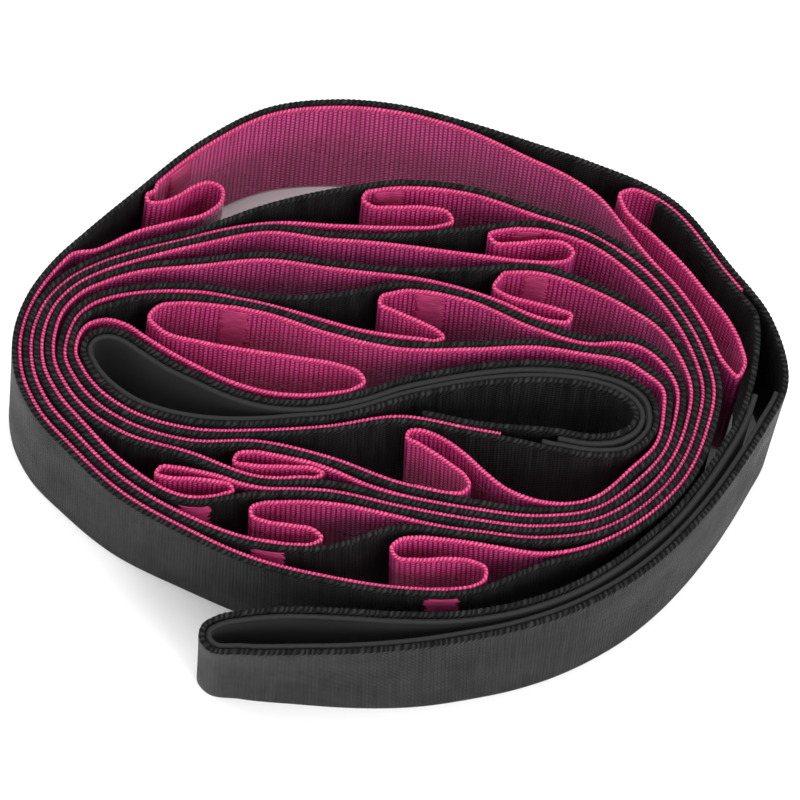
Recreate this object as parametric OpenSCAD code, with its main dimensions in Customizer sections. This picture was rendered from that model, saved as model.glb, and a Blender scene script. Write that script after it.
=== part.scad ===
// Multi-loop stretching strap, wound up on edge, with a lined hand loop at each end.
// A long backing tape carries a narrower loop tape on its inner face.
// The two tapes are sewn together by bar tacks, which leaves twelve foot loops.
// Every tape is a ribbon of constant thickness that follows a centre line in plan.
// Plan lines are in millimetres, X to the right, Y to the back, Z up.

/* [Tapes] */
// height of the backing tape standing on edge
backing_width = 38; // [34:0.5:42]
// thickness of the backing tape
backing_t = 1.3; // [1.0:0.05:1.4]
// height of the loop tape standing on edge
loop_width = 37; // [33:0.5:41]
// thickness of the loop tape
loop_t = 0.8; // [0.6:0.05:0.9]
// air left between neighbouring layers
layer_gap = 0.1; // [0.05:0.01:0.15]

/* [Handles] */
// thickness of one layer of the handle lining
pad_t = 1.3; // [0.8:0.05:1.3]
// height of the handle lining
pad_width = 37; // [30:0.5:41]
// air left at each flex line of the outer handle
flex_gap = 0.5; // [0.3:0.1:1.0]

/* [Bar tacks] */
// length of a bar tack along the strap
tack_length = 5; // [4:0.5:8]
// height of a bar tack across the strap
tack_height = 34; // [28:1:37]
// thickness of the thread bar on each face
tack_t = 0.08; // [0.04:0.01:0.1]
// width of the thread wall that passes through the tapes
tack_core = 0.5; // [0.3:0.1:1.0]

/* [Hidden] */

black = [0.07, 0.07, 0.075];
pink = [0.72, 0.10, 0.33];
thread = [0.80, 0.16, 0.40];
lining = [0.05, 0.05, 0.055];

// distance between two turns that lie tight, and from backing centre to flush loop tape centre
pitch = backing_t + loop_t + 2 * layer_gap;
flush_off = (backing_t + loop_t) / 2 + layer_gap;
pad_off = (backing_t + pad_t) / 2 + layer_gap;

// thirty sight lines per turn: fans about the two end centres, columns between them
right_c = [42, -6];
left_c = [-60, 8];
columns = [42, 30, 15, 0, -15, -30, -45, -60];
function col_o(x) = right_c + (left_c - right_c) * (right_c[0] - x) / (right_c[0] - left_c[0]);
function ray_o(i) = i < 4 || i > 26 ? right_c :
  i >= 12 && i <= 18 ? left_c : col_o(columns[i < 12 ? i - 4 : 26 - i]);
function ray_a(i) = i < 4 ? 22.5 * i : i < 12 ? 90 : i < 19 ? 90 + 22.5 * (i - 11) :
  i < 27 ? 270 : 270 + 22.5 * (i - 26);
function ray_d(i) = [cos(ray_a(i)), sin(ray_a(i))];
function ray_pt(i, r) = ray_o(i) + r * ray_d(i);

// reach of the first turn along the sight lines 0 to 29
turn_1 = [41.5, 42.5, 43, 50, 56.5, 59.5, 63, 65.5, 65, 61, 50.5, 35, 27, 24.5, 24,
  24.5, 25.5, 27, 30, 38.5, 45.5, 50.5, 52.5, 53, 51, 43, 37.5, 36.5, 38.5, 40.5];
// extra room between each turn and the one outside it, from sight line 27 round to 26
room = [
  [1.8, 7, 11, 12, 13.4, 12.4, 15, 14.5, 14.5, 14.5, 17.5, 21.2, 23, 20, 10.5,
   4.5, 1.8, 0.5, 0.2, 0.2, 0.2, 0.3, 0.3, 0.3, 1.8, 4.9, 12, 10.4, 2.8, 0.6],
  [0, 0, 0, 0.1, 0, 0, 0.5, 0, 1, 8.2, 11.5, 9, 3, 0.1, 0.1,
   0, 0, 0, 0.1, 0.1, 0.5, 0.5, 0.6, 1.6, 8.9, 9.7, 1.6, 0.2, 0.2, 0],
  [0, 0, 0, 0.3, 0.8, 2, 5, 9, 9, 8, 6.5, 5, 4.7, 3, 0.5,
   0.3, 0, 0, 0.2, 0.2, 0.2, 0.3, 3.8, 7.9, 0.8, 0.4, 0.1, 0.1, 0, 0],
  [0.5, 0, 0.3, 0.8, 2, 4, 6.8, 11, 12, 4.4, 1.4, 6, 8.4, 4.2, 2.8,
   2, 1.7, 1.3, 0.8, 0.2, 0.2, 0.3, 0.4, 0.4, 5.8, 2.6, 0.5, 0.3, 0.1, 0],
  [0.6, 0, 0.4, 0.9, 2.6, 2.6, 1.7, 0.6, 2, 9.6, 12.5, 6, 0.5, 0.7, 0.7,
   1, 1, 0.4, 0.1, 0.1, 0.2, 0.3, 0.4, 0.4, 0.3, 4.9, 13, 13.5, 6, 3]];

// each reach comes from the one a whole turn outside it, less the layers and the extra room
function slant(a, b, i) = let (t = b - a, d = ray_d(i)) abs(t[0] * d[1] - t[1] * d[0]) / norm(t);
function point_of(r, g) = ray_pt((g + 30) % 30, r[g + 4]);
function grow(r, g) = g > 176 ? r :
  grow(concat(r, [r[g - 26] - pitch / slant(point_of(r, g - 31), point_of(r, g - 29), g % 30) -
    room[floor((g - 27) / 30)][(g - 27) % 30]]), g + 1);
reach = grow(concat([for (i = [26:29]) turn_1[i]], [for (i = [0:26]) turn_1[i]]), 27);
spiral = [for (g = [0:174]) point_of(reach, g)];

// a smooth line through chosen points, read by point number
function steps_of(p) = [for (i = [0:len(p) - 2]) norm(p[i + 1] - p[i])];
function slopes_of(p, h) = let (n = len(p)) [for (i = [0:n - 1])
  i == 0 ? (p[1] - p[0]) / h[0] : i == n - 1 ? (p[n - 1] - p[n - 2]) / h[n - 2] :
  ((p[i] - p[i - 1]) / h[i - 1] * h[i] + (p[i + 1] - p[i]) / h[i] * h[i - 1]) / (h[i - 1] + h[i])];
function curve(p) = let (h = steps_of(p)) [p, h, slopes_of(p, h)];
function on(c, u) = let (i = min(floor(u), len(c[0]) - 2), s = u - i, h = c[1][i])
  (2 * pow(s, 3) - 3 * s * s + 1) * c[0][i] + (pow(s, 3) - 2 * s * s + s) * h * c[2][i] +
  (3 * s * s - 2 * pow(s, 3)) * c[0][i + 1] + (pow(s, 3) - s * s) * h * c[2][i + 1];
// points at whole multiples of a step, so that neighbouring layers are cut alike
function run(c, a, b, step) = concat([on(c, a)],
  [for (k = [ceil(a / step + 0.5):floor(b / step - 0.5)]) on(c, k * step)], [on(c, b)]);
function unit(v) = v / norm(v);
function side(l, i) = let (t = unit(l[min(i + 1, len(l) - 1)] - l[max(i - 1, 0)])) [-t[1], t[0]];
function shifted(l, d) = [for (i = [0:len(l) - 1]) l[i] + d * side(l, i)];
function cut(l, a, b) = [for (i = [a:b]) l[i]];
function back_to_front(l) = [for (i = [len(l) - 1:-1:0]) l[i]];

// outer handle: return layer down the right side, tip at the front left, main layer back to the root
outer_handle = [[78.2, 7], [77.4, 0.2], [75.7, -6.8], [72.9, -14], [68.2, -22], [63.4, -29],
  [58, -35.6], [52, -41.2], [45.4, -46.4], [37.2, -51.4], [29, -54.8], [20.7, -57],
  [12, -58.2], [0, -58.2], [-12, -57.4], [-24, -57], [-31.5, -57.6], [-37.5, -58.9],
  [-39.8, -60.4], [-40.25, -63.1], [-38.6, -65.3], [-32, -66.2], [-20, -66.4], [-8, -66.2],
  [4, -65.2], [15, -63.4], [25, -61.2], [34, -58.2], [42, -54.4], [50, -49.4],
  [57, -43.6], [63.5, -36.8], [69, -30], [74, -22.8], [78.8, -15]];
// inner handle: round the right lobe, over the waist, round the left lobe and back inside
inner_handle = [[24, -18.9], [34, -21.2], [42.5, -22.4], [48.6, -21.7], [52.6, -19], [54.8, -15.8],
  [55.2, -12.2], [54.4, -8.8], [52, -5.9], [48.5, -3.7], [43, -1.9], [35, -0.7],
  [26, -0.4], [17.5, -1.2], [8.7, -2.8], [0, -4.8], [-8, -7.6], [-15, -9.2],
  [-21.6, -9.8], [-28.5, -9.2], [-36, -6.9], [-43.2, -3.4], [-50.7, 0.6], [-55.7, 4.1],
  [-60.2, 7.2], [-63.3, 8.3], [-66.2, 8.1], [-68.5, 6.5], [-69.3, 3.6], [-68, 0.2],
  [-65.2, -3.8], [-61.7, -7], [-57.5, -9.8], [-51, -12.4], [-44, -14], [-37, -14.7],
  [-30, -14.7], [-22, -14.1], [-14.5, -13.5], [-8, -12], [0, -9.3], [8.7, -7.1],
  [17.5, -5.5], [26, -4.7], [35, -4.9], [42.5, -6.2], [47, -8], [49.8, -10.3],
  [50.8, -12.6], [50, -15], [46.8, -17.2], [41.6, -18], [34, -16.8]];

spiral_c = curve(spiral);
tab_start = shifted([for (i = [0:5]) on(spiral_c, 2.7 - 0.3 * i)], -pitch);
return_end = shifted([for (i = [0:3]) on(spiral_c, 173.9 - 0.3 * i)], -pitch);
// the whole backing tape, from one cut end to the other, as one line
strap = curve(concat(tab_start, outer_handle, spiral, inner_handle, return_end));
n_tab = len(tab_start);
n0 = n_tab + len(outer_handle);
n1 = n0 + 174;
n_end = n1 + len(inner_handle) + len(return_end);

// bar tack positions along the spiral
tacks = [2.4, 10.45, 23.7, 37.3, 51.3, 65.25, 80.25, 95.1, 111.1, 126.65, 143.2, 159.5, 173.6];

// each foot loop: where it leaves the backing, its fold in plan, where it lies flush again
folds = [
  [3.25, [[51.2, 43.9], [49.1, 42.8], [49.6, 40], [56.5, 31.6], [62.4, 24.6], [67.4, 17.4],
    [72, 10.5], [74.4, 4.5], [75, -0.5], [73.4, -3], [71, -0.5], [67, 8.4], [61.6, 17.9],
    [55.3, 25.8], [49.5, 34.2], [44.5, 41.5], [38, 46.8], [29, 51.8]], 6.2],
  [10.7, [[-55.4, 44.4], [-57.2, 43.2], [-56.9, 41.6], [-54, 41.2], [-50, 42.8], [-46.5, 45.2],
    [-43, 46.2], [-40.2, 44.6], [-40.2, 41.6], [-43.5, 38.2], [-50, 36.2], [-60, 33.2],
    [-68, 29]], 12.6],
  [24.0, [[18, -50.2], [18.2, -48], [15.5, -46.4], [10.5, -45.8], [4, -46], [-0.5, -45.2],
    [-1.4, -43.2], [0.2, -41.6], [4, -41], [9, -41.4], [15.5, -42.3], [22, -43.5], [30, -44.6]], 26.2],
  [37.5, [[-8.6, 41.5], [-6.8, 39.7], [-2, 39.3], [6, 39.1], [10.3, 37.8], [11.2, 35.6],
    [8.5, 34.4], [0, 34], [-15, 34.6], [-28, 35.4]], 40],
  [51.6, [[-18, -42.3], [-16, -40.9], [-17.2, -39.4], [-22.5, -38], [-28, -37], [-30.8, -35.6],
    [-31, -34], [-28.7, -32.9], [-25, -32.7], [-19, -32.7], [-11, -33.6], [-4, -35.2]], 53.7],
  [65.6, [[19.4, 32.2], [20.4, 30.2], [25, 29.8], [32, 30.4], [36.5, 29.6], [38, 27.6],
    [36.8, 25.6], [34, 25], [28, 25.1], [17, 26.6]], 67.8],
  [80.48, [[-37.2, -30.8], [-35, -29.9], [-35.6, -28.75], [-38.5, -27.9], [-43.5, -27.2], [-49, -26.8],
    [-51.6, -25.8], [-50.8, -24.5], [-47.6, -24.5], [-43.5, -25.3], [-38, -26.7], [-33, -28.53],
    [-28, -29.6], [-22, -29.8], [-15, -30.3]], 82.6],
  [95.5, [[21.5, 21], [20.3, 18.8], [22.5, 16.9], [28.6, 14.8], [34.5, 13], [37.2, 11.6],
    [36.6, 10.2], [33.5, 10.1], [28.5, 11.6], [22, 14.8], [15, 17.6], [6, 20.3]], 97.6],
  [111.3, [[-20.2, -27.1], [-17.4, -27.15], [-16.1, -26.25], [-17.5, -25.35], [-23, -24.7], [-32, -24.1],
    [-35, -23.2], [-34.6, -21.8], [-31, -21.1], [-27, -21.8], [-23, -22.7], [-19, -23.7],
    [-13.5, -25.8], [-7, -28.9]], 113.2],
  [126.9, [[-1.8, 17.3], [-4.3, 16.4], [-4.7, 14.8], [-1.5, 12.8], [4.4, 9.8], [8, 7.6],
    [9.2, 6.2], [7.8, 5.3], [4.5, 5.7], [-2, 6.6], [-9, 8], [-16, 10.2], [-23, 12.6]], 129.2],
  [143.4, [[10.6, -31], [13.6, -30.8], [14.8, -29.2], [14, -27.2], [11.3, -24.8], [7.5, -21.9],
    [3.8, -19.4], [1.6, -18], [2, -16.7], [4, -16.4], [7, -17.3], [10.3, -19.2], [14, -22.2],
    [18.2, -26.4], [22.5, -30]], 146],
  [159.8, [[-49, 15.2], [-53.4, 14.4], [-55.2, 12], [-52.5, 8.6], [-43.5, 5.4], [-33, 3.2],
    [-22, 1.2], [-13, -0.7], [-8.8, -2.6], [-7.8, -4.6], [-10, -6.4], [-14.5, -7.4],
    [-21.5, -7.8], [-29, -6.9], [-36, -4.6], [-43.5, -0.9], [-50.5, 3.2], [-56, 6.9],
    [-60.3, 9.9], [-65, 11.2], [-69.2, 9.6]], 165.2]];

// a bar tack takes half its core width out of every tape it passes through
function trimmed(l, a, b) = let (n = len(l), p = l[0], q = l[1], r = l[n - 1], s = l[n - 2])
  concat([p + a * unit(q - p)], cut(l, 1, n - 2), [r + b * unit(s - r)]);
trim = tack_core / 2 + 0.3;

function flush_run(a, b, step) = shifted(run(strap, n0 + a, n0 + b, step), flush_off);
function loop_line(k) = let (f = folds[k],
  start = k == 0 ? 1.6 : tacks[k], end = k == 11 ? 174 : tacks[k + 1],
  a = flush_run(start, f[0], k == 0 ? 0.25 : 0.125), b = flush_run(f[2], end, 0.25), na = len(a),
  m = curve(concat([a[na - 2], a[na - 1]], f[1], [b[0], b[1]])), nm = len(f[1]) + 3)
  concat(cut(a, 0, na - 2), [for (i = [0:3 * (nm - 2)]) on(m, 1 + i / 3)], cut(b, 1, len(b) - 1));

// moves the whole coil so that the middle of its outline lies on the origin
centre = [0.316, -0.192];
// a ribbon of tape: the line widened to both sides and raised
module ribbon(l, t, w, z = 0) {
  translate([centre[0], centre[1], z]) linear_extrude(height = w)
    polygon(concat(shifted(l, t / 2), back_to_front(shifted(l, -t / 2))));
}
module span(k) {
  l = run(strap, n0 + tacks[k - 1], n0 + tacks[k], 0.25);
  color(black) ribbon(trimmed(l, trim, trim), backing_t, backing_width);
}
// the loop tape stands in the middle of the backing tape's width
loop_z = (backing_width - loop_width) / 2;
module foot_loop(k, a = trim, b = trim) {
  color(pink) ribbon(trimmed(loop_line(k - 1), a, b), loop_t, loop_width, loop_z);
}
// a frame on the backing at a bar tack: X along the tape, Y inwards
module at_tack(k) {
  p = on(strap, n0 + tacks[k]);
  t = on(strap, n0 + tacks[k] + 0.02) - on(strap, n0 + tacks[k] - 0.02);
  translate([p[0] + centre[0], p[1] + centre[1], (backing_width - tack_height) / 2])
    rotate([0, 0, atan2(t[1], t[0])]) children();
}
// the slot that a bar tack's thread wall takes out of a tape that runs on past it
module tack_slot(k, y0, y1) {
  w = tack_core + 0.4;
  at_tack(k) translate([-w / 2, y0, -0.03]) cube([w, y1 - y0, tack_height + 0.06]);
}
// thread bars along both faces, joined by a thread wall through the tapes, as one outline in plan
tack_air = 0.08;
module bartack(k, inner_face) {
  u = n0 + tacks[k];
  mm = 0.04 / norm(on(strap, u + 0.02) - on(strap, u - 0.02));
  l = [for (i = [0:4]) on(strap, u + (i / 4 - 0.75) * tack_length * mm)];
  y1 = -backing_t / 2 - tack_air;
  y2 = inner_face + 2.5 * tack_air;
  b = shifted(l, y1);
  c = shifted(l, y2);
  h = tack_core / 2 * unit(l[4] - l[2]);
  outline = concat(shifted(l, y1 - tack_t), [b[4], b[3] + h, c[3] + h, c[4]],
    back_to_front(shifted(l, y2 + tack_t)), [c[0], c[1], c[2], c[3] - h, b[3] - h, b[2], b[1], b[0]]);
  color(thread) translate([centre[0], centre[1], (backing_width - tack_height) / 2])
    linear_extrude(height = tack_height) polygon(outline);
}
two_tapes = flush_off + loop_t / 2;
three_tapes = pitch + backing_t / 2;

module backing_root() {
  l = run(strap, n0, n0 + tacks[0], 0.25);
  color(black) ribbon(trimmed(l, half_gap, trim), backing_t, backing_width);
}
module backing_01() { span(1); }
module backing_02() { span(2); }
module backing_03() { span(3); }
module backing_04() { span(4); }
module backing_05() { span(5); }
module backing_06() { span(6); }
module backing_07() { span(7); }
module backing_08() { span(8); }
module backing_09() { span(9); }
module backing_10() { span(10); }
module backing_11() { span(11); }
module backing_12() { span(12); }
module loop_01() {
  difference() {
    foot_loop(1, 0);
    tack_slot(0, 0.4, 1.8);
  }
}
module loop_02() { foot_loop(2); }
module loop_03() { foot_loop(3); }
module loop_04() { foot_loop(4); }
module loop_05() { foot_loop(5); }
module loop_06() { foot_loop(6); }
module loop_07() { foot_loop(7); }
module loop_08() { foot_loop(8); }
module loop_09() { foot_loop(9); }
module loop_10() { foot_loop(10); }
module loop_11() { foot_loop(11); }
module loop_12() {
  difference() {
    foot_loop(12, trim, 0);
    tack_slot(12, 0.4, 1.8);
  }
}
module bartack_00() { bartack(0, three_tapes); }
module bartack_01() { bartack(1, two_tapes); }
module bartack_02() { bartack(2, two_tapes); }
module bartack_03() { bartack(3, two_tapes); }
module bartack_04() { bartack(4, two_tapes); }
module bartack_05() { bartack(5, two_tapes); }
module bartack_06() { bartack(6, two_tapes); }
module bartack_07() { bartack(7, two_tapes); }
module bartack_08() { bartack(8, two_tapes); }
module bartack_09() { bartack(9, two_tapes); }
module bartack_10() { bartack(10, two_tapes); }
module bartack_11() { bartack(11, two_tapes); }
module bartack_12() { bartack(12, three_tapes); }

// the outer handle flexes at its root and at mid length: these are the cuts across its two layers
root_main = n0;
root_return = n_tab + 1.88;
mid_main = n_tab + 26;
mid_return = n_tab + 10.65;
half_gap = flex_gap / 2;
module handle_part(a, b, ga, gb) {
  color(black) ribbon(trimmed(run(strap, a, b, 0.25), ga, gb), backing_t, backing_width);
}
module pad_part(a, b, ga, gb) {
  z = (backing_width - pad_width) / 2;
  l = shifted(run(strap, a, b, 0.25), pad_off);
  color(lining) ribbon(trimmed(l, ga, gb), pad_t, pad_width, z);
}
module outer_handle_tab() {
  difference() {
    handle_part(0, root_return, 0, half_gap);
    tack_slot(0, 1.4, 3.4);
  }
}
module outer_handle_rear_ply() { handle_part(mid_main, root_main, half_gap, half_gap); }
module outer_handle_rear_return() { handle_part(root_return, mid_return, half_gap, half_gap); }
module outer_handle_front() { handle_part(mid_return, mid_main, half_gap, half_gap); }
module outer_pad_rear_ply() { pad_part(mid_main, root_main - 0.1, half_gap, 0); }
module outer_pad_rear_return() { pad_part(root_return + 0.1, mid_return, 0, half_gap); }
module outer_pad_front() { pad_part(mid_return, mid_main, half_gap, half_gap); }
module inner_handle_webbing() {
  difference() {
    handle_part(n0 + tacks[12], n_end - 1, trim, 0);
    tack_slot(12, 1.4, 3.4);
  }
}
module inner_handle_pad() { pad_part(n1 + 1.6, n1 + len(inner_handle), 0, 0); }

backing_root();
backing_01();
backing_02();
backing_03();
backing_04();
backing_05();
backing_06();
backing_07();
backing_08();
backing_09();
backing_10();
backing_11();
backing_12();
loop_01();
loop_02();
loop_03();
loop_04();
loop_05();
loop_06();
loop_07();
loop_08();
loop_09();
loop_10();
loop_11();
loop_12();
bartack_00();
bartack_01();
bartack_02();
bartack_03();
bartack_04();
bartack_05();
bartack_06();
bartack_07();
bartack_08();
bartack_09();
bartack_10();
bartack_11();
bartack_12();
outer_handle_tab();
outer_handle_rear_ply();
outer_handle_rear_return();
outer_handle_front();
outer_pad_rear_ply();
outer_pad_rear_return();
outer_pad_front();
inner_handle_webbing();
inner_handle_pad();
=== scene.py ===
import math

import bpy
import numpy as np
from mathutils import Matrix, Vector


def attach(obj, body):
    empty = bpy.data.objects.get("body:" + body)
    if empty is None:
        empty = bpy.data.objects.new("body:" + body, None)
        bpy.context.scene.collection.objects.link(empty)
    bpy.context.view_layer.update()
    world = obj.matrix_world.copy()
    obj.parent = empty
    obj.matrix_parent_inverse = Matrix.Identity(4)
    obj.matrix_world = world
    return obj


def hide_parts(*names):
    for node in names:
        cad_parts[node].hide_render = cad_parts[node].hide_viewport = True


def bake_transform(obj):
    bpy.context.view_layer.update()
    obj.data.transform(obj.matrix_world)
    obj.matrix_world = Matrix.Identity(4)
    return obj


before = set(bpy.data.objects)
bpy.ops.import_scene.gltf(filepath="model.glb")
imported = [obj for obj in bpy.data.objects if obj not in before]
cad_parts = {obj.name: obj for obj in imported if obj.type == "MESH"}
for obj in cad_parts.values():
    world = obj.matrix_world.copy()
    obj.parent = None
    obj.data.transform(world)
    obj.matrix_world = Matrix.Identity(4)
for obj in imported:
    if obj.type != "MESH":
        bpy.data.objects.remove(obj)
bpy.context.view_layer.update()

# The strap is a single tape wound into a coil that stands on its long edges. Every piece is swept along a
# line in plan. The lists below repeat those of part.scad and have to change with them.

# ---------------------------------------------------------------- plan lines, in millimetres, as in part.scad
CENTRE = np.array([0.316, -0.192])
BACK_T, LOOP_T, PAD_T, AIR = 1.3, 0.8, 1.3, 0.1
PITCH = BACK_T + LOOP_T + 2 * AIR
FLUSH = (BACK_T + LOOP_T) / 2 + AIR
PAD_OFF = (BACK_T + PAD_T) / 2 + AIR
RIGHT_C, LEFT_C = np.array([42.0, -6.0]), np.array([-60.0, 8.0])
COLUMNS = [42, 30, 15, 0, -15, -30, -45, -60]
TURN_1 = [41.5, 42.5, 43, 50, 56.5, 59.5, 63, 65.5, 65, 61, 50.5, 35, 27, 24.5, 24,
    24.5, 25.5, 27, 30, 38.5, 45.5, 50.5, 52.5, 53, 51, 43, 37.5, 36.5, 38.5, 40.5]
ROOM = [
    [1.8, 7, 11, 12, 13.4, 12.4, 15, 14.5, 14.5, 14.5, 17.5, 21.2, 23, 20, 10.5,
    4.5, 1.8, 0.5, 0.2, 0.2, 0.2, 0.3, 0.3, 0.3, 1.8, 4.9, 12, 10.4, 2.8, 0.6],
    [0, 0, 0, 0.1, 0, 0, 0.5, 0, 1, 8.2, 11.5, 9, 3, 0.1, 0.1,
    0, 0, 0, 0.1, 0.1, 0.5, 0.5, 0.6, 1.6, 8.9, 9.7, 1.6, 0.2, 0.2, 0],
    [0, 0, 0, 0.3, 0.8, 2, 5, 9, 9, 8, 6.5, 5, 4.7, 3, 0.5,
    0.3, 0, 0, 0.2, 0.2, 0.2, 0.3, 3.8, 7.9, 0.8, 0.4, 0.1, 0.1, 0, 0],
    [0.5, 0, 0.3, 0.8, 2, 4, 6.8, 11, 12, 4.4, 1.4, 6, 8.4, 4.2, 2.8,
    2, 1.7, 1.3, 0.8, 0.2, 0.2, 0.3, 0.4, 0.4, 5.8, 2.6, 0.5, 0.3, 0.1, 0],
    [0.6, 0, 0.4, 0.9, 2.6, 2.6, 1.7, 0.6, 2, 9.6, 12.5, 6, 0.5, 0.7, 0.7,
    1, 1, 0.4, 0.1, 0.1, 0.2, 0.3, 0.4, 0.4, 0.3, 4.9, 13, 13.5, 6, 3]]
OUTER_HANDLE = [[78.2, 7], [77.4, 0.2], [75.7, -6.8], [72.9, -14], [68.2, -22], [63.4, -29],
    [58, -35.6], [52, -41.2], [45.4, -46.4], [37.2, -51.4], [29, -54.8], [20.7, -57],
    [12, -58.2], [0, -58.2], [-12, -57.4], [-24, -57], [-31.5, -57.6], [-37.5, -58.9],
    [-39.8, -60.4], [-40.25, -63.1], [-38.6, -65.3], [-32, -66.2], [-20, -66.4], [-8, -66.2],
    [4, -65.2], [15, -63.4], [25, -61.2], [34, -58.2], [42, -54.4], [50, -49.4],
    [57, -43.6], [63.5, -36.8], [69, -30], [74, -22.8], [78.8, -15]]
INNER_HANDLE = [[24, -18.9], [34, -21.2], [42.5, -22.4], [48.6, -21.7], [52.6, -19], [54.8, -15.8],
    [55.2, -12.2], [54.4, -8.8], [52, -5.9], [48.5, -3.7], [43, -1.9], [35, -0.7],
    [26, -0.4], [17.5, -1.2], [8.7, -2.8], [0, -4.8], [-8, -7.6], [-15, -9.2],
    [-21.6, -9.8], [-28.5, -9.2], [-36, -6.9], [-43.2, -3.4], [-50.7, 0.6], [-55.7, 4.1],
    [-60.2, 7.2], [-63.3, 8.3], [-66.2, 8.1], [-68.5, 6.5], [-69.3, 3.6], [-68, 0.2],
    [-65.2, -3.8], [-61.7, -7], [-57.5, -9.8], [-51, -12.4], [-44, -14], [-37, -14.7],
    [-30, -14.7], [-22, -14.1], [-14.5, -13.5], [-8, -12], [0, -9.3], [8.7, -7.1],
    [17.5, -5.5], [26, -4.7], [35, -4.9], [42.5, -6.2], [47, -8], [49.8, -10.3],
    [50.8, -12.6], [50, -15], [46.8, -17.2], [41.6, -18], [34, -16.8]]
TACKS = [2.4, 10.45, 23.7, 37.3, 51.3, 65.25, 80.25, 95.1, 111.1, 126.65, 143.2, 159.5, 173.6]
FOLDS = [
    [3.25, [[51.2, 43.9], [49.1, 42.8], [49.6, 40], [56.5, 31.6], [62.4, 24.6], [67.4, 17.4],
    [72, 10.5], [74.4, 4.5], [75, -0.5], [73.4, -3], [71, -0.5], [67, 8.4], [61.6, 17.9],
    [55.3, 25.8], [49.5, 34.2], [44.5, 41.5], [38, 46.8], [29, 51.8]], 6.2],
    [10.7, [[-55.4, 44.4], [-57.2, 43.2], [-56.9, 41.6], [-54, 41.2], [-50, 42.8], [-46.5, 45.2],
    [-43, 46.2], [-40.2, 44.6], [-40.2, 41.6], [-43.5, 38.2], [-50, 36.2], [-60, 33.2],
    [-68, 29]], 12.6],
    [24.0, [[18, -50.2], [18.2, -48], [15.5, -46.4], [10.5, -45.8], [4, -46], [-0.5, -45.2],
    [-1.4, -43.2], [0.2, -41.6], [4, -41], [9, -41.4], [15.5, -42.3], [22, -43.5], [30, -44.6]], 26.2],
    [37.5, [[-8.6, 41.5], [-6.8, 39.7], [-2, 39.3], [6, 39.1], [10.3, 37.8], [11.2, 35.6],
    [8.5, 34.4], [0, 34], [-15, 34.6], [-28, 35.4]], 40],
    [51.6, [[-18, -42.3], [-16, -40.9], [-17.2, -39.4], [-22.5, -38], [-28, -37], [-30.8, -35.6],
    [-31, -34], [-28.7, -32.9], [-25, -32.7], [-19, -32.7], [-11, -33.6], [-4, -35.2]], 53.7],
    [65.6, [[19.4, 32.2], [20.4, 30.2], [25, 29.8], [32, 30.4], [36.5, 29.6], [38, 27.6],
    [36.8, 25.6], [34, 25], [28, 25.1], [17, 26.6]], 67.8],
    [80.48, [[-37.2, -30.8], [-35, -29.9], [-35.6, -28.75], [-38.5, -27.9], [-43.5, -27.2], [-49, -26.8],
    [-51.6, -25.8], [-50.8, -24.5], [-47.6, -24.5], [-43.5, -25.3], [-38, -26.7], [-33, -28.53],
    [-28, -29.6], [-22, -29.8], [-15, -30.3]], 82.6],
    [95.5, [[21.5, 21], [20.3, 18.8], [22.5, 16.9], [28.6, 14.8], [34.5, 13], [37.2, 11.6],
    [36.6, 10.2], [33.5, 10.1], [28.5, 11.6], [22, 14.8], [15, 17.6], [6, 20.3]], 97.6],
    [111.3, [[-20.2, -27.1], [-17.4, -27.15], [-16.1, -26.25], [-17.5, -25.35], [-23, -24.7], [-32, -24.1],
    [-35, -23.2], [-34.6, -21.8], [-31, -21.1], [-27, -21.8], [-23, -22.7], [-19, -23.7],
    [-13.5, -25.8], [-7, -28.9]], 113.2],
    [126.9, [[-1.8, 17.3], [-4.3, 16.4], [-4.7, 14.8], [-1.5, 12.8], [4.4, 9.8], [8, 7.6],
    [9.2, 6.2], [7.8, 5.3], [4.5, 5.7], [-2, 6.6], [-9, 8], [-16, 10.2], [-23, 12.6]], 129.2],
    [143.4, [[10.6, -31], [13.6, -30.8], [14.8, -29.2], [14, -27.2], [11.3, -24.8], [7.5, -21.9],
    [3.8, -19.4], [1.6, -18], [2, -16.7], [4, -16.4], [7, -17.3], [10.3, -19.2], [14, -22.2],
    [18.2, -26.4], [22.5, -30]], 146],
    [159.8, [[-49, 15.2], [-53.4, 14.4], [-55.2, 12], [-52.5, 8.6], [-43.5, 5.4], [-33, 3.2],
    [-22, 1.2], [-13, -0.7], [-8.8, -2.6], [-7.8, -4.6], [-10, -6.4], [-14.5, -7.4],
    [-21.5, -7.8], [-29, -6.9], [-36, -4.6], [-43.5, -0.9], [-50.5, 3.2], [-56, 6.9],
    [-60.3, 9.9], [-65, 11.2], [-69.2, 9.6]], 165.2]]


def ray_o(i):
    if i < 4 or i > 26:
        return RIGHT_C
    if 12 <= i <= 18:
        return LEFT_C
    x = COLUMNS[i - 4] if i < 12 else COLUMNS[26 - i]
    k = (RIGHT_C[0] - x) / (RIGHT_C[0] - LEFT_C[0])
    return np.array([x, RIGHT_C[1] + (LEFT_C[1] - RIGHT_C[1]) * k])


def ray_d(i):
    if i < 4:
        a = 22.5 * i
    elif i < 12:
        a = 90
    elif i < 19:
        a = 90 + 22.5 * (i - 11)
    elif i < 27:
        a = 270
    else:
        a = 270 + 22.5 * (i - 26)
    return np.array([math.cos(math.radians(a)), math.sin(math.radians(a))])


def spiral_points():
    r = TURN_1[26:30] + TURN_1[0:27]
    at = lambda g: ray_o(g % 30) + r[g + 4] * ray_d(g % 30)
    for g in range(27, 177):
        t = at(g - 29) - at(g - 31)
        d = ray_d(g % 30)
        slant = abs(t[0] * d[1] - t[1] * d[0]) / math.hypot(*t)
        r.append(r[g - 26] - PITCH / slant - ROOM[(g - 27) // 30][(g - 27) % 30])
    return [at(g) for g in range(175)]


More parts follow.
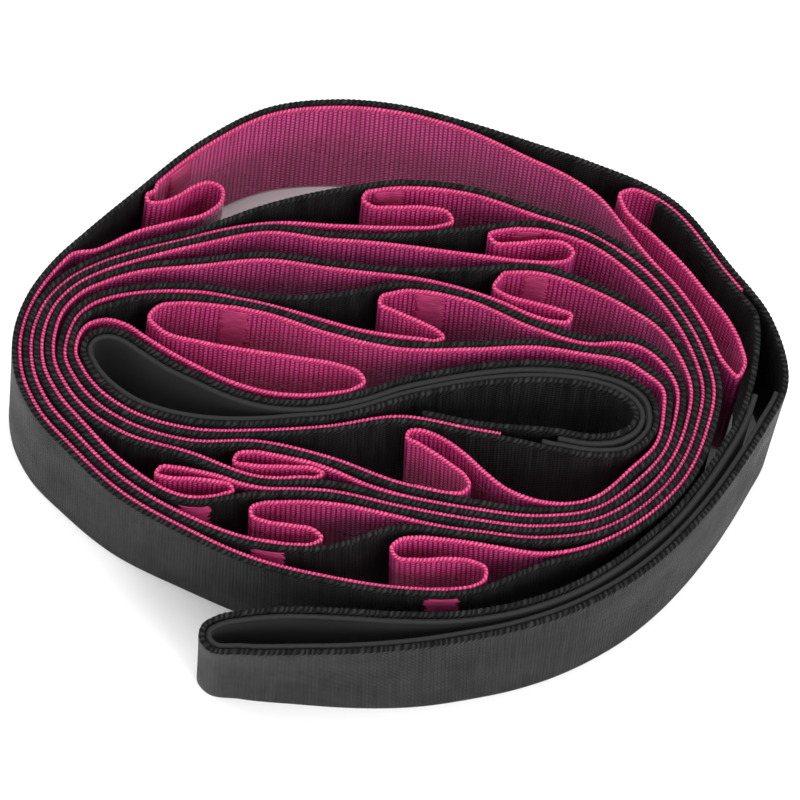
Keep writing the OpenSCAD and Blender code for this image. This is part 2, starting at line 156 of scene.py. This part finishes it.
class Curve:
    """a smooth line through chosen points, read by point number"""

    def __init__(self, pts):
        self.p = p = np.array([np.asarray(q, float) for q in pts])
        self.h = h = np.linalg.norm(p[1:] - p[:-1], axis=1)
        m = np.zeros_like(p)
        m[0] = (p[1] - p[0]) / h[0]
        m[-1] = (p[-1] - p[-2]) / h[-1]
        for i in range(1, len(p) - 1):
            a, b = h[i - 1], h[i]
            m[i] = ((p[i] - p[i - 1]) / a * b + (p[i + 1] - p[i]) / b * a) / (a + b)
        self.m = m

    def on(self, u):
        u = np.atleast_1d(np.asarray(u, float))
        i = np.minimum(np.floor(u).astype(int), len(self.p) - 2)
        s = (u - i)[:, None]
        h = self.h[i][:, None]
        return ((2 * s**3 - 3 * s * s + 1) * self.p[i] + (s**3 - 2 * s * s + s) * h * self.m[i]
                + (3 * s * s - 2 * s**3) * self.p[i + 1] + (s**3 - s * s) * h * self.m[i + 1])

    def run(self, a, b, step):
        k = np.arange(math.ceil(a / step + 0.5), math.floor(b / step - 0.5) + 1) * step
        return self.on(np.concatenate([[a], k, [b]]))


def normals(l):
    a = l[np.maximum(np.arange(len(l)) - 1, 0)]
    b = l[np.minimum(np.arange(len(l)) + 1, len(l) - 1)]
    t = (b - a) / np.linalg.norm(b - a, axis=1)[:, None]
    return np.stack([-t[:, 1], t[:, 0]], axis=1)


def shifted(l, d):
    return l + d * normals(l)


SPIRAL = spiral_points()
SP = Curve(SPIRAL)
TAB_START = shifted(SP.on([2.7 - 0.3 * i for i in range(6)]), -PITCH)
RETURN_END = shifted(SP.on([173.9 - 0.3 * i for i in range(4)]), -PITCH)
STRAP = Curve(list(TAB_START) + OUTER_HANDLE + SPIRAL + INNER_HANDLE + list(RETURN_END))
N_TAB = len(TAB_START)
N0 = N_TAB + len(OUTER_HANDLE)
N1 = N0 + 174
N_END = N1 + len(INNER_HANDLE) + len(RETURN_END)


def flush_run(a, b, step):
    return shifted(STRAP.run(N0 + a, N0 + b, step), FLUSH)


def loop_line(k, fine=3):
    f = FOLDS[k]
    end = 174 if k == 11 else TACKS[k + 1]
    a = flush_run(1.6 if k == 0 else TACKS[k], f[0], 0.25 if k == 0 else 0.125)
    b = flush_run(f[2], end, 0.25)
    pts = [a[-2], a[-1]] + [np.array(q, float) for q in f[1]] + [b[0], b[1]]
    m = Curve(pts)
    nm = len(f[1]) + 3
    mid = m.on(1 + np.arange(0, fine * (nm - 2) + 1) / fine)
    return np.concatenate([a[:-1], mid, b[1:]])


# ---------------------------------------------------------------- helpers for the meshes
ROOT_RETURN, MID_RETURN, MID_MAIN = N_TAB + 1.88, N_TAB + 10.65, N_TAB + 26
WIDTH, LOOP_WIDTH, PAD_WIDTH = 38.0, 37.0, 37.0
MM = 0.001


def resample(l, step):
    """the same line with points a fixed length apart, and its length"""
    s = np.concatenate([[0], np.cumsum(np.linalg.norm(np.diff(l, axis=0), axis=1))])
    n = max(2, int(round(s[-1] / step)))
    q = np.linspace(0, s[-1], n + 1)
    return np.stack([np.interp(q, s, l[:, 0]), np.interp(q, s, l[:, 1])], axis=1), q


def smooth_run(a, b):
    """the backing's line from point number a to b, in fine even steps"""
    n = max(4, int(math.ceil(abs(b - a) / 0.03)))
    return STRAP.on(np.linspace(a, b, n + 1))


def normals_of(l):
    """unit normals of a line of even steps, to the left of its direction"""
    t = np.gradient(l, axis=0)
    t /= np.linalg.norm(t, axis=1)[:, None]
    return np.stack([-t[:, 1], t[:, 0]], axis=1)


def ease(t):
    """0 to 1 with soft ends"""
    t = np.clip(t, 0, 1)
    return t * t * (3 - 2 * t)


# how far the lower edges stand out: to the left, at the back, and at the outer hand loop's tip
SPLAY_LEFT, SPLAY_BACK, SPLAY_TIP = 5.5, 1.3, 3.4


def warp(p):
    """a slight lean of the whole coil, the same for all pieces, so that neighbours stay clear"""
    x, y, z = p[:, 0], p[:, 1], p[:, 2]
    k = np.clip(z / WIDTH, 0, 1) - 0.5
    q = p.copy()
    q[:, 0] += k * (0.9 * np.sin(y / 31.0 + 0.4) + 0.5 * np.sin(x / 23.0))
    q[:, 1] += k * (0.9 * np.sin(x / 37.0 + 1.1) + 0.4 * np.sin(y / 17.0 + 2.0))
    # the lower edges splay outwards on the left and a little at the back
    low = 0.5 - k
    q[:, 0] -= SPLAY_LEFT * low * ease((25 - x) / 85)
    q[:, 1] += low * (SPLAY_BACK * ease(y / 60) + SPLAY_TIP * ease((10 - x) / 60) * ease((-10 - y) / 50))
    return q


def mesh_object(name, verts, faces, uvs, material):
    """a smooth-shaded mesh from arrays in millimetres, with one UV layer called weave"""
    me = bpy.data.meshes.new(name)
    me.from_pydata([], [], [])
    me.vertices.add(len(verts))
    me.vertices.foreach_set("co", (verts / 1000.0).astype(np.float32).ravel())
    me.loops.add(faces.size)
    me.loops.foreach_set("vertex_index", faces.astype(np.int32).ravel())
    me.polygons.add(len(faces))
    me.polygons.foreach_set("loop_start", (np.arange(len(faces)) * faces.shape[1]).astype(np.int32))
    me.polygons.foreach_set("loop_total", np.full(len(faces), faces.shape[1], np.int32))
    me.polygons.foreach_set("use_smooth", np.ones(len(faces), bool))
    layer = me.uv_layers.new(name="weave")
    layer.data.foreach_set("uv", uvs.astype(np.float32).ravel())
    me.update(calc_edges=True)
    me.validate()
    o = bpy.data.objects.new(name, me)
    bpy.context.scene.collection.objects.link(o)
    me.materials.append(material)
    return o


def tape(name, line, width, t, z0, material, s0=0.0, braid=0.08, full=0.97, bead=1.2, step=0.3):
    """a closed ribbon of webbing along a plan line, with rounded, braided selvedges
    rows of points run round the section; the weave map holds length along the tape and height"""
    l, s = resample(line, step)
    n = normals_of(l)
    h = t / 2
    w = width
    ph = 2 * math.pi * (s + s0) / bead
    c1, c2, c3 = np.cos(ph + 2.0), np.cos(ph), np.cos(ph - 2.0)
    one = np.ones_like(s)
    rows = []  # (offset, height, v on the weave map)

    def row(off, z, v):
        rows.append((off * one if np.isscalar(off) else off, z * one if np.isscalar(z) else z, v))

    for z in (0.45, 1.4, w * 0.3, w * 0.5, w * 0.7, w - 1.5):
        row(h * (1.0 if z in (1.4, w - 1.5) else 0.93), z, z)
    row(h * (full + 0.6 * braid * c1), w - 0.60, w - 0.60)
    row(h * (0.84 * full + braid * c1), w - 0.17 + 0.7 * braid * c1, w - 0.16)
    row(0.3 * h * c2, w - 0.01 + 0.8 * braid * c2, w)
    row(-h * (0.84 * full + braid * c3), w - 0.17 + 0.7 * braid * c3, w + 0.16)
    row(-h * (full + 0.6 * braid * c3), w - 0.60, w + 0.60)
    for z in (w - 1.5, w * 0.7, w * 0.5, w * 0.3, 1.4, 0.45):
        row(-h * (1.0 if z in (1.4, w - 1.5) else 0.93), z, 2 * w - z)
    row(-h * 0.5, 0.08, 2 * w - 0.08)
    row(h * 0.5, 0.08, 2 * w + 0.2)
    m, k = len(rows), len(s)
    p = np.zeros((k, m, 3))
    for j, (off, z, _) in enumerate(rows):
        p[:, j, 0] = l[:, 0] + n[:, 0] * off + CENTRE[0]
        p[:, j, 1] = l[:, 1] + n[:, 1] * off + CENTRE[1]
        p[:, j, 2] = z0 + z
    v = np.array([r[2] for r in rows] + [2 * w + 0.6])
    i = np.arange(k - 1)[:, None] * m
    j = np.arange(m)[None, :]
    j2 = (j + 1) % m
    quads = np.stack([i + j, i + j2, i + m + j2, i + m + j], axis=2).reshape(-1, 4)
    su = (s + s0)[:, None]
    u0 = np.broadcast_to(su[:-1], (k - 1, m))
    u1 = np.broadcast_to(su[1:], (k - 1, m))
    v0 = np.broadcast_to(v[None, :-1], (k - 1, m))
    v1 = np.broadcast_to(v[None, 1:], (k - 1, m))
    uv = np.stack([u0, v0, u0, v1, u1, v1, u1, v0], axis=2).reshape(-1, 2) / 1000.0
    o = mesh_object(name, warp(p.reshape(-1, 3)), quads, uv, material)
    close_ends(o)
    return o


def close_ends(o):
    """caps the two open ends of a swept mesh"""
    import bmesh
    bm = bmesh.new()
    bm.from_mesh(o.data)
    rim = [e for e in bm.edges if e.is_boundary]
    layer = bm.loops.layers.uv.active
    made = bmesh.ops.holes_fill(bm, edges=rim, sides=0)["faces"]
    for f in made:
        for lp in f.loops:
            for other in lp.vert.link_loops:
                if other.face not in made:
                    lp[layer].uv = other[layer].uv
                    break
    bmesh.ops.recalc_face_normals(bm, faces=bm.faces)
    bm.to_mesh(o.data)
    bm.free()


# ---------------------------------------------------------------- materials
class Nodes:
    """short names for the shader nodes used here"""

    def __init__(self, name):
        self.m = bpy.data.materials.new(name)
        self.m.use_nodes = True
        self.t = self.m.node_tree
        self.b = self.t.nodes["Principled BSDF"]

    def put(self, socket, value):
        if isinstance(value, bpy.types.NodeSocket):
            self.t.links.new(value, socket)
        else:
            socket.default_value = value

    def math(self, op, a, b=0.0, c=0.0):
        n = self.t.nodes.new("ShaderNodeMath")
        n.operation = op
        for sock, val in zip(n.inputs, (a, b, c)):
            self.put(sock, val)
        return n.outputs[0]

    def mix(self, f, a, b, mode="MIX"):
        n = self.t.nodes.new("ShaderNodeMix")
        n.data_type = "RGBA"
        n.blend_type = mode
        self.put(n.inputs[0], f)
        self.put(n.inputs[6], a)
        self.put(n.inputs[7], b)
        return n.outputs[2]

    def noise(self, vec, scale, detail=2.0, rough=0.5):
        n = self.t.nodes.new("ShaderNodeTexNoise")
        self.put(n.inputs["Vector"], vec)
        n.inputs["Scale"].default_value = scale
        n.inputs["Detail"].default_value = detail
        n.inputs["Roughness"].default_value = rough
        return n.outputs["Fac"]

    def bump(self, height, strength, dist, normal=None):
        n = self.t.nodes.new("ShaderNodeBump")
        n.inputs["Strength"].default_value = strength
        n.inputs["Distance"].default_value = dist
        self.put(n.inputs["Height"], height)
        if normal is not None:
            self.put(n.inputs["Normal"], normal)
        return n.outputs[0]

    def span(self, v, lo, hi, to_lo, to_hi):
        n = self.t.nodes.new("ShaderNodeMapRange")
        self.put(n.inputs[0], v)
        for k, x in enumerate((lo, hi, to_lo, to_hi)):
            n.inputs[k + 1].default_value = x
        return n.outputs[0]


def webbing(name, ground, crown_highlight, selvedge_and_highlight, col_mm, row_mm, slant, highlight_mask, rough, sheen, sheen_tint, depth,
            spec, spec_tint, top, braid_mm, streak):
    """woven webbing: ribs across the tape cut into short floats, with a braided selvedge
    lengths end in _mm; the highlight mask is the part of each float's profile that takes the lighter crown
    colour, a painted highlight"""
    k = Nodes(name)
    uv = k.t.nodes.new("ShaderNodeUVMap")
    uv.uv_map = "weave"
    sep = k.t.nodes.new("ShaderNodeSeparateXYZ")
    k.put(sep.inputs[0], uv.outputs[0])
    along, up = sep.outputs[0], sep.outputs[1]
    wob = k.math("SUBTRACT", k.noise(uv.outputs[0], 260.0, 2.0), 0.5)
    a = k.math("ADD", k.math("MULTIPLY", along, 1000.0 / col_mm), k.math("MULTIPLY", wob, 0.1))
    column = k.math("FLOOR", a)
    b = k.math("ADD", k.math("MULTIPLY", up, 1000.0 / row_mm), k.math("MULTIPLY", column, slant))
    b = k.math("ADD", b, k.math("MULTIPLY", wob, 0.2))
    fx = k.math("SUBTRACT", k.math("FRACT", a), 0.5)
    fy = k.math("SUBTRACT", k.math("FRACT", b), 0.5)
    cx = k.math("SUBTRACT", 1.0, k.math("MULTIPLY", k.math("MULTIPLY", fx, fx), 4.0))
    cy = k.math("SUBTRACT", 1.0, k.math("POWER", k.math("ABSOLUTE", k.math("MULTIPLY", fy, 2.0)), 4.0))
    cell = k.math("MULTIPLY", k.math("SQRT", k.math("MAXIMUM", cx, 0.0)), k.math("MAXIMUM", cy, 0.0))
    # fine filaments that run along the tape inside each float
    thread = k.math("SINE", k.math("MULTIPLY", up, 2 * math.pi * 1000.0 / 0.17))
    # uneven columns: a noise drawn out over the height of the tape
    flat = k.t.nodes.new("ShaderNodeCombineXYZ")
    k.put(flat.inputs[0], along)
    k.put(flat.inputs[1], k.math("MULTIPLY", up, 0.07))
    column_tone = k.noise(flat.outputs[0], 620.0, 2.0, 0.6)
    tone = k.noise(uv.outputs[0], 55.0, 3.0, 0.6)
    level = k.math("MULTIPLY", k.span(column_tone, 0.3, 0.7, 1.0 - streak, 1.0 + 0.4 * streak),
                   k.span(tone, 0.3, 0.7, 0.72, 1.08))
    # painted highlight: each float's crown takes the lighter colour, standing in for glints of light on the
    # pink tape and a faint satin sheen on the black one
    f = k.math("MULTIPLY", k.span(cell, highlight_mask[0], highlight_mask[1], 0.0, 1.0), level)
    col = k.mix(f, ground, crown_highlight)
    # the selvedges: a diagonal braid of thicker yarn along the top and the bottom edge. The lighter colour
    # along each strand's ridge is a painted highlight over the selvedge's own colour
    off = k.math("MULTIPLY", k.math("ABSOLUTE", k.math("SUBTRACT", up, top * 0.001)), 1000.0)
    rim = k.math("MAXIMUM", k.span(off, 1.0, 1.35, 1.0, 0.0), k.span(off, top - 1.3, top - 0.95, 0.0, 1.0))
    turn = k.math("ADD", k.math("MULTIPLY", along, 1000.0 / braid_mm), k.math("MULTIPLY", up, 1000.0 / 1.3))
    turn = k.math("ADD", turn, k.math("MULTIPLY", wob, 2.4))
    yarn = k.math("ADD", k.math("MULTIPLY", k.math("SINE", k.math("MULTIPLY", turn, 2 * math.pi)), 0.5), 0.5)
    col = k.mix(rim, col, k.mix(k.math("MULTIPLY", yarn, level), selvedge_and_highlight[0], selvedge_and_highlight[1]))
    k.put(k.b.inputs["Base Color"], col)
    k.put(k.b.inputs["Roughness"], k.span(tone, 0.3, 0.7, rough - 0.07, rough + 0.09))
    k.b.inputs["Sheen Weight"].default_value = sheen
    k.b.inputs["Sheen Roughness"].default_value = 0.35
    k.b.inputs["Sheen Tint"].default_value = sheen_tint
    k.b.inputs["Specular IOR Level"].default_value = spec
    k.b.inputs["Specular Tint"].default_value = spec_tint
    high = k.math("MULTIPLY", cell, k.math("SUBTRACT", 1.0, rim))
    high = k.math("ADD", high, k.math("MULTIPLY", thread, 0.06))
    high = k.math("ADD", high, k.math("MULTIPLY", k.math("MULTIPLY", yarn, rim), 1.3))
    k.put(k.b.inputs["Normal"], k.bump(high, 1.0, depth))
    return k.m


# the lighter crown colour given to each tape below is a painted highlight on its weave floats
BLACK = webbing(
    "webbing_black", ground=(0.0022, 0.0022, 0.0024, 1), crown_highlight=(0.023, 0.023, 0.0234, 1),
    selvedge_and_highlight=((0.004, 0.004, 0.0042, 1), (0.026, 0.026, 0.0265, 1)), col_mm=0.78, row_mm=0.9, slant=0.3,
    highlight_mask=(0.3, 0.92), rough=0.42, sheen=0.015, sheen_tint=(0.8, 0.8, 0.85, 1), depth=0.00013, spec=0.03,
    spec_tint=(1, 1, 1, 1), top=WIDTH, braid_mm=1.25, streak=0.8)
PINK = webbing(
    "webbing_pink", ground=(0.25, 0.005, 0.058, 1), crown_highlight=(0.92, 0.10, 0.42, 1),
    selvedge_and_highlight=((0.30, 0.008, 0.08, 1), (0.88, 0.115, 0.27, 1)), col_mm=1.07, row_mm=1.25, slant=0.5,
    highlight_mask=(0.62, 0.93), rough=0.28, sheen=0.05, sheen_tint=(1.0, 0.4, 0.8, 1), depth=0.00014, spec=0.35,
    spec_tint=(1.0, 0.5, 0.78, 1), top=LOOP_WIDTH, braid_mm=0.85, streak=0.35)


def neoprene():
    """matt black foam cloth with a fine grain"""
    k = Nodes("neoprene")
    tc = k.t.nodes.new("ShaderNodeTexCoord")
    fine = k.noise(tc.outputs["Object"], 2600.0, 2.0)
    big = k.noise(tc.outputs["Object"], 60.0, 2.0)
    worn = k.span(big, 0.3, 0.7, 0.0, 1.0)
    k.put(k.b.inputs["Base Color"], k.mix(worn, (0.005, 0.005, 0.0055, 1), (0.010, 0.010, 0.0107, 1)))
    k.put(k.b.inputs["Roughness"], k.span(big, 0.3, 0.7, 0.62, 0.78))
    k.b.inputs["Specular IOR Level"].default_value = 0.3
    k.b.inputs["Sheen Weight"].default_value = 0.05
    k.put(k.b.inputs["Normal"], k.bump(fine, 0.35, 0.00008))
    return k.m


def satin_thread(name, dark, light, spec):
    """smooth sewing thread, a little uneven in tone"""
    k = Nodes(name)
    uv = k.t.nodes.new("ShaderNodeUVMap")
    uv.uv_map = "weave"
    tone = k.noise(uv.outputs[0], 900.0, 2.0)
    k.put(k.b.inputs["Base Color"], k.mix(k.span(tone, 0.3, 0.7, 0.0, 1.0), dark, light))
    k.b.inputs["Roughness"].default_value = 0.45
    k.b.inputs["Specular IOR Level"].default_value = spec
    k.b.inputs["Sheen Weight"].default_value = 0.25 * spec
    k.b.inputs["Sheen Tint"].default_value = (1.0, 0.7, 0.9, 1)
    return k.m


LINING = neoprene()
THREAD = satin_thread("thread_pink", (0.26, 0.008, 0.07, 1), (0.54, 0.035, 0.17, 1), 0.4)
END_THREAD = satin_thread("thread_black", (0.002, 0.002, 0.002, 1), (0.012, 0.012, 0.012, 1), 0.04)

# ---------------------------------------------------------------- backing tape, one length from tack to tack

def arc(a, b):
    """length of the backing's line from point number a to b"""
    return float(np.sum(np.linalg.norm(np.diff(smooth_run(a, b), axis=0), axis=1)))


whole = arc(0, N0)
pos = whole + arc(N0, N0 + TACKS[0])
for k in range(1, 13):
    a, b = N0 + TACKS[k - 1], N0 + TACKS[k]
    o = tape("webbing_backing_%02d" % k, smooth_run(a, b), WIDTH, BACK_T, 0.0, BLACK, pos)
    length = arc(a, b)
    pos += length
    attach(o, "coil")
    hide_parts("backing_%02d" % k)

# inner handle: the backing runs on past the last tack, round both lobes and back to it
a, b = N0 + TACKS[12], N_END - 1
o = tape("webbing_inner_handle", smooth_run(a, b), WIDTH, BACK_T, 0.0, BLACK, pos)
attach(o, "coil")
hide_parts("inner_handle_webbing")

# outer handle, in three lengths that meet in the middle of its rigid stretches
def longer_tab(l, more):
    """the sewn-down end reaches further along the coil than its tack, lying on the loop tape"""
    c = STRAP.on(N0 + np.linspace(0.5, 8, 751))
    n = normals_of(c)
    i = int(np.argmin(np.linalg.norm(c - l[0], axis=1)))
    d = float(np.dot(l[0] - c[i], n[i]))
    s = np.cumsum(np.linalg.norm(np.diff(c[i:], axis=0), axis=1))
    j = i + int(np.searchsorted(s, more))
    return np.concatenate([(c + d * n)[i + 3:j][::-1], l])


cut_return = (ROOT_RETURN + MID_RETURN) / 2
cut_main = (MID_MAIN + N0) / 2
# each length runs from point number a to b of the strap line and replaces these pieces of the model
for name, a, b, nodes in (
    ("webbing_outer_tab", 0, cut_return, ("outer_handle_tab", "outer_handle_rear_return")),
    ("webbing_outer_handle", cut_return, cut_main, ("outer_handle_front",)),
    ("webbing_outer_root", cut_main, N0 + TACKS[0], ("outer_handle_rear_ply", "backing_root")),
):
    more = 0.0 if a else 9.0
    l = longer_tab(smooth_run(a, b), more) if more else smooth_run(a, b)
    o = tape(name, l, WIDTH, BACK_T, 0.0, BLACK, arc(0, a) if a else 0.0)
    if name == "webbing_outer_handle":
        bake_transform(o)
    else:
        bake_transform(o)
    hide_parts(*nodes)

# ---------------------------------------------------------------- foot loops
# how far each loop tape stands above the backing's lower edge
LOOP_Z = [0.35, 0.15, 0.45, 0.3, 0.2, 0.5, 0.4, 0.35, 0.45, 0.3, 0.6, 0.35]


def loop_smooth(k):
    """a loop's line: flush with the backing at both ends, through the fold's points between"""
    f = FOLDS[k]
    start = 1.6 if k == 0 else TACKS[k]
    end = 174.7 if k == 11 else TACKS[k + 1]
    l1 = smooth_run(N0 + start, N0 + f[0])
    l2 = smooth_run(N0 + f[2], N0 + end)
    a = l1 + FLUSH * normals_of(l1)
    b = l2 + FLUSH * normals_of(l2)
    coarse = loop_line(k, 12)
    i0 = int(np.argmin(np.linalg.norm(coarse - a[-1], axis=1)))
    i1 = int(np.argmin(np.linalg.norm(coarse - b[0], axis=1)))
    mid = coarse[i0 + 1:i1]
    return np.concatenate([a, mid, b])


pos = 0.0
for k in range(12):
    l = loop_smooth(k)
    length = float(np.sum(np.linalg.norm(np.diff(l, axis=0), axis=1)))
    o = tape("webbing_loop_%02d" % (k + 1), l, LOOP_WIDTH, LOOP_T, LOOP_Z[k], PINK, pos,
             braid=0.11, full=1.08, bead=0.85, step=0.27)
    pos += length
    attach(o, "coil")
    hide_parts("loop_%02d" % (k + 1))

# ---------------------------------------------------------------- neoprene linings


def lining(name, a, b, nodes):
    """a neoprene pad on the inside of a hand loop, from point number a to b"""
    l = smooth_run(a, b)
    l = l + PAD_OFF * normals_of(l)
    o = tape(name, l, PAD_WIDTH, PAD_T, 0.4, LINING, 0.0, braid=0.0, step=0.8)
    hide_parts(*nodes)
    return o


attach(lining("lining_inner", N1 + 1.6, N1 + len(INNER_HANDLE), ("inner_handle_pad",)), "coil")
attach(lining("lining_outer_return", ROOT_RETURN + 0.15, cut_return, ("outer_pad_rear_return",)),
        "handle_rear")
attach(lining("lining_outer_ply", cut_main, N0 - 0.15, ("outer_pad_rear_ply",)), "handle_rear")
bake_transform(lining("lining_outer_front", cut_return, cut_main, ("outer_pad_front",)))

# ---------------------------------------------------------------- bar tacks


END_TACKS = (0, 12)  # these two also hold the tape that comes back from a hand loop


def bar_tack(k):
    """satin stitches over both faces: a row of short thread bars on each, one mesh"""
    u = N0 + TACKS[k]
    mm = 0.04 / np.linalg.norm(STRAP.on(u + 0.02)[0] - STRAP.on(u - 0.02)[0])
    rng = np.random.default_rng(40 + k)
    inner = PITCH + BACK_T / 2 if k in END_TACKS else BACK_T / 2 + AIR + LOOP_T
    verts, faces, uvs = [], [], []
    rows, sides, n = 46, 6, 9
    for face in (0, 1):
        off = -BACK_T / 2 - 0.10 if face == 0 else inner + 0.12
        for r in range(rows):
            z = 1.6 + 34.8 * (r + 0.5) / rows + rng.uniform(-0.1, 0.1)
            x0 = -4.7 + rng.uniform(-0.7, 0.5)
            x1 = 1.7 + rng.uniform(-0.5, 0.6)
            us = u + np.linspace(x0, x1, n) * mm
            c = STRAP.on(us)
            nn = normals_of(c)
            side = -1 if face == 0 else 1
            arch = np.sqrt(np.maximum(0, 1 - np.linspace(-1, 1, n) ** 2)) * 0.18 + 0.02
            base = len(verts)
            for i in range(n):
                for q in range(sides):
                    t = 2 * math.pi * q / sides
                    d = off + side * (arch[i] - 0.08) + 0.12 * math.cos(t) * side
                    zz = z + 0.46 * math.sin(t) * (0.5 + 0.5 * arch[i] / 0.2)
                    x, y = c[i] + nn[i] * d + CENTRE
                    verts.append((x, y, zz))
            for i in range(n - 1):
                a, b = base + i * sides, base + (i + 1) * sides
                for q in range(sides):
                    q2 = (q + 1) % sides
                    faces.append([a + q, a + q2, b + q2, b + q])
                    for ii, qq in ((i, q), (i, q2), (i + 1, q2), (i + 1, q)):
                        uvs.append((us[ii] * 0.005, (z + qq) * 0.001))
    o = mesh_object("bar_tack_%02d" % k, warp(np.array(verts)), np.array(faces), np.array(uvs),
                    END_THREAD if k in END_TACKS else THREAD)
    close_ends(o)
    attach(o, "coil")
    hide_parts("bartack_%02d" % k)


for k in range(13):
    bar_tack(k)

# ---------------------------------------------------------------- stage, lights and camera
scene = bpy.context.scene
bpy.ops.mesh.primitive_plane_add(size=8, location=(0, 0, 0))
floor = bpy.context.object
floor.name = "floor"
fm = Nodes("floor_pale")
fm.b.inputs["Base Color"].default_value = (0.97, 0.97, 0.97, 1)
fm.b.inputs["Roughness"].default_value = 0.9
floor.data.materials.append(fm.m)

world = bpy.data.worlds.new("studio")
world.use_nodes = True
world.node_tree.nodes["Background"].inputs[0].default_value = (1, 1, 1, 1)
world.node_tree.nodes["Background"].inputs[1].default_value = 1.08
scene.world = world


def softbox(name, place, aim, size, power):
    """a square lamp that faces a point"""
    d = bpy.data.lights.new(name, "AREA")
    d.shape = "RECTANGLE"
    d.size, d.size_y = size
    d.energy = power
    o = bpy.data.objects.new(name, d)
    scene.collection.objects.link(o)
    o.location = place
    v = np.array(aim, float) - np.array(place, float)
    o.rotation_euler = Vector(v).to_track_quat("-Z", "Y").to_euler()


softbox("key", (0.55, -0.60, 0.65), (0, 0, 0.02), (0.5, 0.5), 6.0)
softbox("top", (-0.1, 0.25, 1.0), (0, 0, 0.02), (0.8, 0.8), 5.5)

cam = bpy.data.cameras.new("camera")
cam.sensor_width = 36
cam.lens = 109.1
ELEVATION, DISTANCE = math.radians(64.6), 0.545
camera = bpy.data.objects.new("camera", cam)
scene.collection.objects.link(camera)
target = np.array([*(CENTRE * MM), WIDTH / 2 * MM])
camera.location = target + DISTANCE * np.array([0, -math.cos(ELEVATION), math.sin(ELEVATION)])
camera.rotation_euler = (math.pi / 2 - ELEVATION, 0, 0)
scene.camera = camera
scene.view_settings.view_transform = "Standard"
